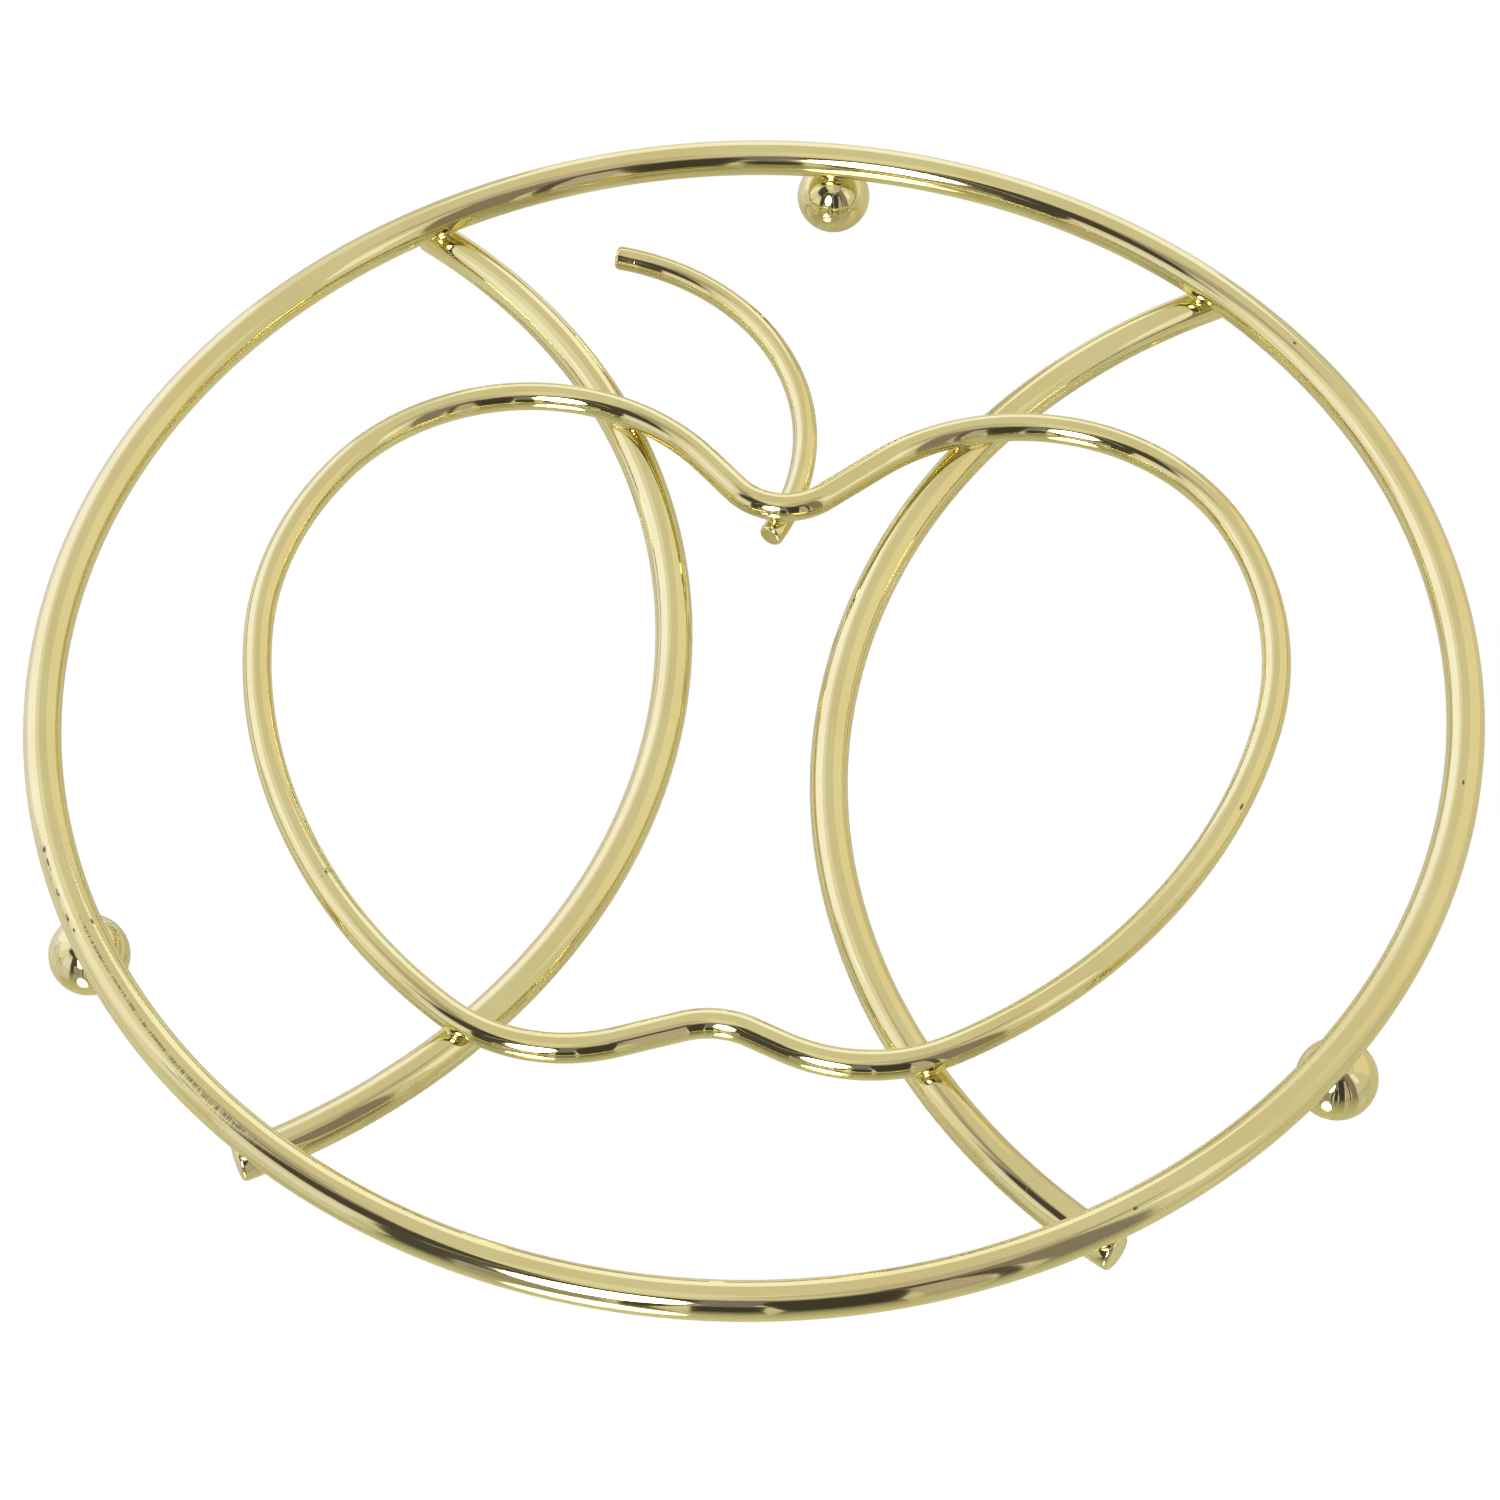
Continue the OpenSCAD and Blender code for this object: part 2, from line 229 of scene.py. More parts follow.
# %% Apple
NOTCH_BACK = 30.5 * MM
APPLE_DROP = 86.8 * MM
APPLE_TURN = 1.5
NOTCH_R = 9 * MM
SHOULDER_R = 33 * MM
LOBE_R = 24.5 * MM
BUMP_R = 12 * MM
RIGHT_BENDS = {"notch": 43, "flank": 40.5, "lower": 47, "lobe": 54, "bump": 22.5}
LEFT_BENDS = {"notch": 45, "flank": 37, "lower": 48.5, "lobe": 56.5, "bump": 21}
RIGHT_SLOPE, RIGHT_DIP = 9.7 * MM, 4.8 * MM
LEFT_SLOPE, LEFT_DIP = 7.3 * MM, 9 * MM


def side_pieces(bends, slope, dip, seam, flank_r, lower_r):
    """One side of the apple, from the notch down to the bump."""
    inward = bends["flank"] + bends["lower"] + bends["lobe"]
    shoulder = 180 + bends["notch"] + bends["bump"] - inward
    lower = [(lower_r, -bends["lower"])]
    if seam:
        half = (lower_r, -bends["lower"] / 2)
        lower = [half, (seam, 0), half]
    top = [(NOTCH_R, bends["notch"]), (slope, 0), (SHOULDER_R, -shoulder)]
    flank = [(flank_r, -bends["flank"])]
    bottom = [(LOBE_R, -bends["lobe"]), (dip, 0), (BUMP_R, bends["bump"])]
    return top + flank + lower + bottom


def closed_side(bends, slope, dip, seam):
    """The side with the two radii that bring it to the middle of the bump."""
    bare = poses((0, 0, 0), side_pieces(bends, slope, dip, seam, 0, 0))
    short = Vector((-bare[-1][0], -APPLE_DROP - bare[-1][1]))
    flank = Vector(after((0, 0, bare[3][2]), (1, -bends["flank"]))[:2])
    lower = Vector(after((0, 0, bare[4][2]), (1, -bends["lower"]))[:2])
    both = flank.cross(lower)
    return side_pieces(
        bends, slope, dip, seam, short.cross(lower) / both, flank.cross(short) / both
    )


right_side = closed_side(RIGHT_BENDS, RIGHT_SLOPE, RIGHT_DIP, 0)
left_side = closed_side(LEFT_BENDS, LEFT_SLOPE, LEFT_DIP, SEAM_WIDTH)[::-1]
apple_loop = (
    [(NOTCH_R, LEFT_BENDS["notch"] + RIGHT_BENDS["notch"])]
    + right_side[1:-1]
    + [(BUMP_R, RIGHT_BENDS["bump"] + LEFT_BENDS["bump"])]
    + left_side[1:-1]
)
notch = (0, NOTCH_BACK, APPLE_TURN)
apple_start = along_bend(notch, NOTCH_R, -LEFT_BENDS["notch"])
print("apple radii", [round(piece[0] / MM, 2) for piece in apple_loop])

# %% [markdown]
# ## Bending the wires
#
# A real wire is pulled off a coil, straightened, cut and bent round pins. It could be a curve
# with a round bevel. Here the cross-section itself travels: a circle is spun round the middle of
# each bend and extruded along each straight. That leaves even rings of points, and the cut ends
# can be rounded with a few more extrusions that also shrink the circle.

# %% The wire bender
SIDES = 48
STEP_TURN = 3
STEP_LENGTH = 2 * MM
ROUND_STEPS = 6
SHARP_TURN = 50
CAP_INSET = 0.35 * MM


def add_profile(name, thickness, height, pose):
    """Adds a wire's cross-section, square to its heading."""
    bpy.ops.object.select_all(action="DESELECT")
    bpy.ops.mesh.primitive_circle_add(
        vertices=SIDES,
        radius=thickness / 2,
        location=(pose[0], pose[1], height),
        rotation=(math.pi / 2, 0, math.radians(pose[2] + 90)),
    )
    wire = bpy.context.object
    wire.name = wire.data.name = name
    bpy.ops.object.transform_apply(location=True, rotation=True, scale=True)
    return wire


def draw_on(height, pose, pieces):
    """Carries the selected ring of edges along the pieces and gives back the last pose."""
    for piece in pieces:
        size, turn = piece
        if turn == 0:
            step = (size * cosine(pose[2]), size * sine(pose[2]), 0)
            bpy.ops.mesh.extrude_region_move(TRANSFORM_OT_translate={"value": step})
        else:
            steps = math.ceil(max(abs(turn) / STEP_TURN, piece_length(piece) / STEP_LENGTH))
            bpy.ops.mesh.spin(
                steps=steps,
                angle=math.radians(-turn),
                center=(*bend_centre(pose, piece), height),
                axis=(0, 0, 1),
                use_auto_merge=False,
            )
        pose = after(pose, piece)
    return pose


def round_off(height, pose, radii, moves):
    """Carries the selected ring forwards and brings it to each radius in turn."""
    for old, new, move in zip(radii, radii[1:], moves):
        pose = after(pose, (move, 0))
        step = (move * cosine(pose[2]), move * sine(pose[2]), 0)
        bpy.ops.mesh.extrude_region_move(TRANSFORM_OT_translate={"value": step})
        bpy.ops.transform.resize(
            value=(new / old,) * 3, center_override=(pose[0], pose[1], height)
        )
    return pose


# %% Closing a wire's ends
def close_rim(wire):
    """Fills every open rim of the wire, with a smaller face inside it that stays flat."""
    mesh = bmesh.from_edit_mesh(wire.data)
    for rim in open_rims(mesh):
        bpy.ops.mesh.select_all(action="DESELECT")
        mesh = bmesh.from_edit_mesh(wire.data)
        mesh.verts.ensure_lookup_table()
        for index in rim:
            mesh.verts[index].select = True
        mesh.select_flush(True)
        bmesh.update_edit_mesh(wire.data)
        bpy.ops.mesh.edge_face_add()
        bpy.ops.mesh.inset(thickness=CAP_INSET)


def open_rims(mesh):
    """The points of each open rim, as sets of indices."""
    edges = {edge for edge in mesh.edges if edge.is_boundary}
    rims = []
    while edges:
        rim, front = set(), [edges.pop()]
        while front:
            edge = front.pop()
            for vert in edge.verts:
                rim.add(vert.index)
                joined = [e for e in vert.link_edges if e in edges]
                edges.difference_update(joined)
                front.extend(joined)
        rims.append(rim)
    return rims


# %% A whole wire
def bend_wire(name, thickness, height, pose, pieces, end_round=0):
    """A closed wire with its ends cut square, or rounded where end_round is given."""
    angles = [90 * k / ROUND_STEPS for k in range(ROUND_STEPS + 1)]
    radii = [thickness / 2 - end_round * (1 - cosine(a)) for a in angles]
    reach = [end_round * sine(a) for a in angles]
    moves = [far - near for near, far in zip(reach, reach[1:])]
    begin = after(pose, (-end_round, 0)) if end_round else pose
    wire = add_profile(name, 2 * radii[-1] if end_round else thickness, height, begin)
    bpy.ops.object.mode_set(mode="EDIT")
    if end_round:
        round_off(height, begin, radii[::-1], moves[::-1])
    last = draw_on(height, pose, pieces)
    if end_round:
        round_off(height, last, radii, moves)
    close_rim(wire)
    bpy.ops.mesh.select_all(action="SELECT")
    bpy.ops.mesh.normals_make_consistent(inside=False)
    bpy.ops.object.mode_set(mode="OBJECT")
    bpy.ops.object.shade_smooth_by_angle(angle=math.radians(SHARP_TURN))
    keep_unbent(wire, thickness, height, pose, pieces)
    return wire


# %% [markdown]
# ### Where each point lay before bending
#
# Drawing leaves fine lines along a wire, and they follow it through every bend. A pattern on
# Object coordinates would cut straight across. So each wire gets an attribute that says where
# its points lay while the wire was straight, and the plating's pattern reads that.

# %% The straight wire's coordinates
def keep_unbent(wire, thickness, height, pose, pieces):
    """Stores each point's place along, beside and above the middle of the straight wire."""
    count = len(wire.data.vertices)
    points = np.empty(3 * count)
    wire.data.vertices.foreach_get("co", points)
    x, y, z = points.reshape(-1, 3).T
    unbent = np.zeros((count, 3))
    unbent[:, 2] = z - height
    least_miss = np.full(count, np.inf)
    gone = 0
    for before, piece in zip(poses(pose, pieces), pieces):
        along, aside = from_bend(x, y, before, piece)
        length = piece_length(piece)
        outside = np.maximum(0, np.maximum(-along, along - length))
        miss = outside + np.maximum(0, np.abs(aside) - thickness)
        closer = miss < least_miss
        least_miss[closer] = miss[closer]
        unbent[closer, 0] = gone + along[closer]
        unbent[closer, 1] = aside[closer]
        gone += length
    store(wire, "unbent", unbent)


def from_bend(x, y, pose, piece):
    """How far points lie along a piece and to the left of it."""
    if piece[1] == 0:
        dx, dy = x - pose[0], y - pose[1]
        ux, uy = cosine(pose[2]), sine(pose[2])
        return dx * ux + dy * uy, dy * ux - dx * uy
    cx, cy = bend_centre(pose, piece)
    side = math.copysign(1, piece[1])
    start = math.atan2(pose[1] - cy, pose[0] - cx)
    turned = side * (np.arctan2(y - cy, x - cx) - start)
    margin = (2 * math.pi - math.radians(abs(piece[1]))) / 2
    turned = np.mod(turned + margin, 2 * math.pi) - margin
    return piece[0] * turned, side * (piece[0] - np.hypot(x - cx, y - cy))


def store(piece, name, values):
    """Stores a vector for each point of a piece's mesh."""
    layer = piece.data.attributes.new(name, "FLOAT_VECTOR", "POINT")
    layer.data.foreach_set("vector", np.ascontiguousarray(values, dtype=np.float32).ravel())


# %% [markdown]
# ## The ring
#
# The ring is one wire bent once round and butt welded. The wire stops at both faces of the weld.

# %% Ring
SEAM_ANGLE = 204
seam_turn = math.degrees(SEAM_WIDTH / RING_R)


def ring_pose(angle):
    """The ring's wire at an angle from +X, heading anticlockwise."""
    return RING_R * cosine(angle), RING_R * sine(angle), angle + 90


ring_start = ring_pose(SEAM_ANGLE + seam_turn / 2)
ring_pieces = [(RING_R, 360 - seam_turn)]
ring = bend_wire("ring_wire_bent", RING_WIRE, RING_Z, ring_start, ring_pieces)
print("ring:", len(ring.data.polygons), "faces,", [round(s / MM, 2) for s in ring.dimensions])

# %% [markdown]
# ## The bows, the apple and the stem
#
# The bows carry the apple's outline on top, and the stem hangs under the notch. Their free ends
# are cut square and tumbled, so the edges are a little round and catch the light.

# %% Bows
bows = {}
for side, word in ((LEFT, "left"), (RIGHT, "right")):
    start, pieces = bow_path(side)
    bows[side] = bend_wire(f"{word}_bow_bent", BOW_WIRE, BOW_Z, start, pieces, END_ROUND)
    print(bows[side].name, len(bows[side].data.polygons), "faces")

# %% Apple outline
seam_index = apple_loop.index((SEAM_WIDTH, 0))
apple_pieces = apple_loop[seam_index + 1:] + apple_loop[:seam_index]
apple_pose = poses(apple_start, apple_loop)[seam_index + 1]
apple = bend_wire("apple_wire_bent", APPLE_WIRE, APPLE_Z, apple_pose, apple_pieces)
print("apple:", len(apple.data.polygons), "faces")

# %% Stem
STEM_R = 36 * MM
STEM_LEAN = 19
STEM_BEND = 102
STEM_TAIL = 2.5 * MM
stem_tail_turn = math.degrees(STEM_TAIL / STEM_R)
stem_start = along_bend((notch[0], notch[1], 90 - STEM_LEAN), STEM_R, -stem_tail_turn)
stem_pieces = [(STEM_R, STEM_BEND + stem_tail_turn)]
stem = bend_wire("stem_bent", STEM_WIRE, STEM_Z, stem_start, stem_pieces, END_ROUND)
print("stem:", len(stem.data.polygons), "faces")

# %% [markdown]
# ## The ball feet
#
# Each foot is a solid ball, welded under the ring. It is worn a little flat where it stands, so
# a sphere is cut level just above the floor and the cut is closed.

# %% Ball feet
FLAT_DEPTH = 0.02 * MM
CUT_SLACK = 0.0001 * MM
BALL_ACROSS = 10.9 * MM
BALL_SEGMENTS, BALL_RINGS = 96, 64


def shape_ball(name, centre):
    """A ball with a worn flat under it."""
    bpy.ops.object.select_all(action="DESELECT")
    bpy.ops.mesh.primitive_uv_sphere_add(
        segments=BALL_SEGMENTS,
        ring_count=BALL_RINGS,
        radius=BALL_ACROSS / 2,
        location=centre,
    )
    ball = bpy.context.object
    ball.name = ball.data.name = name
    bpy.ops.object.transform_apply(location=True, rotation=True, scale=True)
    bpy.ops.object.mode_set(mode="EDIT")
    bpy.ops.mesh.bisect(
        plane_co=(0, 0, FLAT_DEPTH),
        plane_no=(0, 0, 1),
        clear_inner=True,
        use_fill=True,
        threshold=CUT_SLACK,
    )
    bpy.ops.mesh.select_all(action="SELECT")
    bpy.ops.mesh.normals_make_consistent(inside=False)
    bpy.ops.object.mode_set(mode="OBJECT")
    bpy.ops.object.shade_smooth()
    return ball


balls = {}
for word in ("back", "left", "right"):
    centre = middle(f"{word}_foot")
    centre.z = BALL_ACROSS / 2
    balls[word] = shape_ball(f"{word}_ball", centre)
    print(balls[word].name, "at", [round(c / MM, 2) for c in centre])

# %% [markdown]
# ## The welds
#
# The pieces are welded by pressing them together under current, so each weld is a small collar
# of metal that melted and drew itself into the corner. It could be modelled as a ring round the
# crossing, but its edge would show. Here short copies of the two pieces are melted together: a
# voxel remesh makes them one skin, and smoothing fills the corner. Smoothing also draws the
# copies in a little everywhere else, so there they hide inside the real pieces.

# %% Melting a weld
STUB = 4.5 * MM
VOXEL = 0.14 * MM
MELT_ROUNDS = 60
MELT_FACTOR = 0.5


def nearest_along(pose, pieces, place):
    """How far along a wire it passes closest to a place."""
    best, gone = (math.inf, 0), 0
    for before, piece in zip(poses(pose, pieces), pieces):
        length = piece_length(piece)
        along, aside = from_bend(np.array([place.x]), np.array([place.y]), before, piece)
        inside = min(max(along[0], 0), length)
        miss = abs(along[0] - inside) + abs(aside[0])
        best = min(best, (miss, gone + inside))
        gone += length
    return best[1]


def stub_of(wire_parts, place):
    """A short copy of a wire round a place."""
    thickness, height, pose, pieces = wire_parts
    at = nearest_along(pose, pieces, place)
    short_pose, short_pieces = stretch(pose, pieces, at - STUB, at + STUB)
    return bend_wire("stub", thickness, height, short_pose, short_pieces)


def melt(name, parts):
    """Makes one smooth skin of the parts, with their corners filled."""
    bpy.ops.object.select_all(action="DESELECT")
    for part in parts:
        part.select_set(True)
    bpy.context.view_layer.objects.active = parts[0]
    bpy.ops.object.join()
    weld = bpy.context.object
    weld.name = weld.data.name = name
    remesh = weld.modifiers.new("one skin", "REMESH")
    remesh.mode = "VOXEL"
    remesh.voxel_size = VOXEL
    bpy.ops.object.modifier_apply(modifier=remesh.name)
    melted = weld.modifiers.new("melted", "SMOOTH")
    melted.factor = MELT_FACTOR
    melted.iterations = MELT_ROUNDS
    bpy.ops.object.modifier_apply(modifier=melted.name)
    bpy.ops.object.shade_smooth()
    return weld


def ball_top(place):
    """The top of a ball, down to where the weld ends."""
    ball = shape_ball("stub", Vector((place.x, place.y, BALL_ACROSS / 2)))
    bpy.ops.object.mode_set(mode="EDIT")
    bpy.ops.mesh.select_all(action="SELECT")
    bpy.ops.mesh.bisect(
        plane_co=(0, 0, BALL_ACROSS / 2), plane_no=(0, 0, 1), clear_inner=True, use_fill=True
    )
    bpy.ops.object.mode_set(mode="OBJECT")
    return ball


# %% Welds
ring_parts = (RING_WIRE, RING_Z, ring_start, ring_pieces)
apple_parts = (APPLE_WIRE, APPLE_Z, apple_pose, apple_pieces)
stem_parts = (STEM_WIRE, STEM_Z, stem_start, stem_pieces)
bow_parts = {side: (BOW_WIRE, BOW_Z, *bow_path(side)) for side in (LEFT, RIGHT)}
welds = {}
for side, word in ((LEFT, "left"), (RIGHT, "right")):
    for end in ("back", "front"):
        for carried, parts in (("ring", ring_parts), ("apple", apple_parts)):
            node = f"{carried}_weld_{end}_{word}"
            place = middle(node)
            stubs = [stub_of(parts, place), stub_of(bow_parts[side], place)]
            welds[node] = melt(node + "_melted", stubs)
for word in ("back", "left", "right"):
    node = f"{word}_foot_weld"
    place = middle(node)
    stubs = [stub_of(ring_parts, place), ball_top(place)]
    welds[node] = melt(node + "_melted", stubs)
place = middle("stem_weld")
stubs = [stub_of(apple_parts, place), stub_of(stem_parts, place)]
welds["stem_weld"] = melt("stem_weld_melted", stubs)
for node, weld in welds.items():
    print(node, len(weld.data.polygons), "faces")

# %% [markdown]
# ## The two butt welds
#
# Where a wire's own ends meet, the weld was ground back flush. It still stands a hair proud and
# its edges are soft.

# %% Butt welds
SEAM_PROUD = 0.005 * MM
SEAM_STEPS = 8


def butt_weld(name, thickness, height, pose):
    """A short length of wire whose middle stands a little proud."""
    angles = [180 * k / SEAM_STEPS for k in range(SEAM_STEPS + 1)]
    radii = [thickness / 2 + SEAM_PROUD * sine(a) for a in angles]
    weld = add_profile(name, thickness, height, pose)
    bpy.ops.object.mode_set(mode="EDIT")
    round_off(height, pose, radii, [SEAM_WIDTH / SEAM_STEPS] * SEAM_STEPS)
    close_rim(weld)
    bpy.ops.mesh.select_all(action="SELECT")
    bpy.ops.mesh.normals_make_consistent(inside=False)
    bpy.ops.object.mode_set(mode="OBJECT")
    bpy.ops.object.shade_smooth_by_angle(angle=math.radians(SHARP_TURN))
    keep_unbent(weld, thickness, height, pose, [(SEAM_WIDTH, 0)])
    return weld


ring_seam = butt_weld("ring_butt_weld", RING_WIRE, RING_Z, ring_pose(SEAM_ANGLE - seam_turn / 2))
apple_seam_pose = poses(apple_start, apple_loop)[seam_index]
apple_seam = butt_weld("apple_butt_weld", APPLE_WIRE, APPLE_Z, apple_seam_pose)
print("butt welds", len(ring_seam.data.polygons), len(apple_seam.data.polygons), "faces")

# %% [markdown]
# ## Writing a finish
#
# A finish is a small program for light. Its sums read best as sums, so a value that comes out of
# a node can be added, multiplied and so on in Python, and each sum adds its Math node. Every
# other node comes from one method.

# %% Values
class Value:
    """What comes out of a node."""

    def __init__(self, finish, socket):
        self.finish, self.socket = finish, socket

    def sum(self, operation, *others):
        """Adds a Math node of this value and the others."""
        return self.finish.node(
            "ShaderNodeMath", {"operation": operation}, dict(enumerate((self, *others)))
        )

    def __add__(self, other):
        return self.sum("ADD", other)

    def __sub__(self, other):
        return self.sum("SUBTRACT", other)

    def __mul__(self, other):
        return self.sum("MULTIPLY", other)

    __radd__, __rmul__ = __add__, __mul__

    def ramp(self, low, high):
        """0 at low, 1 at high and smooth between. Low may be the larger of the two."""
        return self.finish.node(
            "ShaderNodeMapRange",
            {"interpolation_type": "SMOOTHSTEP"},
            {"Value": self, "From Min": low, "From Max": high},
        )


# %% Finishes
SPOT_CORE = 0.3
EVEN = (1, 1, 1)


class Finish:
    """A material that is written node by node."""

    def __init__(self, name):
        self.material = bpy.data.materials.new(name)
        self.material.use_nodes = True
        self.tree = self.material.node_tree
        self.tree.nodes.clear()

    def node(self, kind, settings, inputs, output=0):
        """Adds a node, with its settings first and its sockets' values or links after."""
        made = self.tree.nodes.new(kind)
        for name, value in settings.items():
            setattr(made, name, value)
        for name, value in inputs.items():
            if isinstance(value, Value):
                self.tree.links.new(value.socket, made.inputs[name])
            else:
                made.inputs[name].default_value = value
        return Value(self, made.outputs[output]) if made.outputs else None

    def own_place(self):
        """Places in the object's own coordinates."""
        return self.node("ShaderNodeTexCoord", {}, {}, output=3)

    def vector(self, operation, *places, output=0):
        """A sum of places."""
        return self.node(
            "ShaderNodeVectorMath", {"operation": operation}, dict(enumerate(places)), output
        )

    def noise(self, place, scale, detail, stretch=EVEN):
        """Soft noise from 0 to 1, its size given by how many of it go to a metre."""
        spread = self.vector("MULTIPLY", place, stretch)
        return self.node(
            "ShaderNodeTexNoise", {}, {"Vector": spread, "Scale": scale, "Detail": detail}
        )

    def blend(self, share, first, second):
        """A colour between two, by a share from 0 to 1."""
        return self.node(
            "ShaderNodeMix", {"data_type": "RGBA"}, {0: share, 6: first, 7: second}, output=2
        )

    def spot(self, place, centre, reach):
        """1 in the middle of an oval spot and 0 outside it. Its centre and reach are in mm."""
        away = self.vector("SUBTRACT", place, [part * MM for part in centre])
        shares = self.vector("DIVIDE", away, [part * MM for part in reach])
        return self.vector("LENGTH", shares, output=1).ramp(1, SPOT_CORE)

    def bump(self, height):
        """A surface with a height in metres."""
        return self.node(
            "ShaderNodeBump", {}, {"Height": height, "Distance": 1.0, "Strength": 1.0}
        )

    def finish_with(self, shader):
        """Ends the material with its shader."""
        self.node("ShaderNodeOutputMaterial", {}, {"Surface": shader})
        return self.material


# %% [markdown]
# ## The plating
#
# A thin bright layer of pale gold colour lies over polished steel wire. It could be one metal
# colour with one roughness, but then it looks like plastic film. The real layer shows what is
# under it: lines along the wire from drawing, a fine grain from polishing, short ripples across
# it, and a soft wave in its mirror. The wave is a few hundredths of a millimetre high and the
# others a few thousandths, and together they make it metal.

# %% Plating
PLATING = (0.825, 0.770, 0.377, 1)
PLATING_DEEP = (0.806, 0.728, 0.341, 1)
WELD_PLATING = (0.920, 0.725, 0.250, 1)
BARE_METAL = (0.170, 0.137, 0.104, 1)
POLISHED, CLOUDED, SATIN, SCRATCHED = 0.05, 0.03, 0.17, 0.45
WAVE, GRAIN, DRAWN_LINES, RIPPLE, PIT = 5e-5, 1e-6, 2e-6, 6e-6, 3e-5
WAVE_SCALE, GRAIN_SCALE, LINE_SCALE, RIPPLE_SCALE = 110, 2600, 2000, 2600
PATCH_SCALE, CLOUD_SCALE = 60, 35
LEAST_GRAIN, LEAST_RIPPLE, GROUND_RIPPLE = 0.35, 0.06, 2.4
ALONG_WIRE = (0.02, 1, 1)
ACROSS_WIRE = (1, 0.12, 0.12)
CLOUD_STRETCH = (0.6, 1, 1)


def plating(name, wear, place_of="unbent", tone=PLATING):
    """The plated finish. Wear gives the shares of satin, rippled and bare metal at a place."""
    finish = Finish(name)
    if place_of:
        place = finish.node("ShaderNodeAttribute", {"attribute_name": place_of}, {}, output=1)
    else:
        place = finish.own_place()
    satin, rippled, bare = wear(finish, place)
    patch = finish.noise(place, PATCH_SCALE, 3).ramp(0.35, 0.65)
    cloud = finish.noise(place, CLOUD_SCALE, 2, CLOUD_STRETCH).ramp(0.45, 0.62)
    grain = finish.noise(place, GRAIN_SCALE, 3)
    lines = finish.noise(place, LINE_SCALE, 2, ALONG_WIRE if place_of else EVEN)
    ripple = finish.noise(place, RIPPLE_SCALE, 2, ACROSS_WIRE if place_of else EVEN)
    height = (
        WAVE * finish.noise(place, WAVE_SCALE, 1)
        + GRAIN * (LEAST_GRAIN + cloud) * grain
        + DRAWN_LINES * lines
        + RIPPLE * (LEAST_RIPPLE + GROUND_RIPPLE * rippled) * ripple
        - PIT * bare
    )
    worn = SATIN * satin + SCRATCHED * bare
    shader = finish.node(
        "ShaderNodeBsdfPrincipled",
        {},
        {
            "Base Color": finish.blend(bare, finish.blend(patch, tone, PLATING_DEEP), BARE_METAL),
            "Roughness": POLISHED + CLOUDED * cloud + worn,
            "Metallic": 1.0,
            "Normal": finish.bump(height),
        },
    )
    return finish.finish_with(shader)


# %% [markdown]
# ### Wear
#
# The ring was ground on the left, where its ends meet. That stretch still shows marks across it,
# a few dark dashes and pits where the layer broke, a comb of fine dark teeth and a pair of long
# scratches. To the right of the front the buffing wheel missed a stretch, which is satin. The
# apple's wire has a small kink, and the left ball has curled scuffs. A scratch could be painted
# on a picture wrapped round the wire, but then it would be blurred close up. Here each is a soft
# oval spot, broken up by noise where it is rough. On a wire its place is given along, beside and
# above the straight wire, in mm.

# %% Where the pieces are worn
SATIN_FROM, SATIN_TO = (185 * MM, 205 * MM), (262 * MM, 246 * MM)
GROUND_TO, GROUND_FROM = (75 * MM, 35 * MM), (585 * MM, 608 * MM)
COMB_DEPTH, SCRATCH_DEPTH, KINK_DEPTH = 0.8, 0.5, 0.5
BREAK_SCALE, TOOTH_SCALE, KINK_SCALE = 2400, 4500, 1500
BREAK_STRETCH = (0.5, 1, 1)
RING_PITS = [
    ((14.3, 1.0, 2.4), (0.7, 0.25, 0.4)),
    ((14.3, -1.6, 2.0), (0.5, 0.22, 0.3)),
    ((173.6, -1.0, 2.4), (0.5, 0.3, 0.3)),
    ((256.1, -0.1, 2.6), (0.6, 0.25, 0.3)),
    ((338.6, 0.3, 2.6), (0.5, 0.3, 0.3)),
]
RING_DASHES = [
    ((0.5, -1.65, 2.0), (1.0, 0.4, 0.5)),
    ((3.0, -1.65, 2.0), (1.9, 0.25, 0.3)),
    ((5.4, -1.9, 1.8), (1.6, 0.2, 0.3)),
    ((8.1, -1.7, 1.9), (1.5, 0.3, 0.35)),
    ((12.1, -1.7, 1.9), (1.1, 0.3, 0.35)),
]
RING_COMB = [
    ((17.5, -0.2, 2.6), (6.5, 0.3, 0.5)),
    ((26.5, -0.1, 2.6), (8, 0.2, 0.5)),
    ((34.5, -0.3, 2.6), (8, 0.25, 0.5)),
    ((42.5, -0.5, 2.6), (7.5, 0.35, 0.5)),
    ((50.0, -0.8, 2.5), (7.5, 0.4, 0.5)),
]
RING_SCRATCHES = [((40.5, -1.5, 2.2), (4.5, 0.1, 0.3)), ((43.5, -1.2, 2.3), (3.5, 0.1, 0.3))]
BALL_SCUFFS = [((-86.7, -52.4, 9.2), (1.3, 1.3, 1.3)), ((-86.4, -53.8, 8.5), (1.1, 1.1, 1.1))]
APPLE_PITS = [((266.6, 1.2, 1.6), (0.8, 0.3, 0.3)), ((417.7, -0.5, 1.9), (0.5, 0.2, 0.3))]
APPLE_KINK = ((417.5, -0.5, 1.5), (4, 2, 2))
print("worn spots on the ring:", len(RING_PITS + RING_DASHES + RING_COMB + RING_SCRATCHES))


# %% Wear of the ring and the apple
def all_spots(finish, place, spots):
    """The share of a place that a list of spots covers."""
    shares = [finish.spot(place, centre, reach) for centre, reach in spots]
    total = shares[0]
    for share in shares[1:]:
        total = total + share
    return total


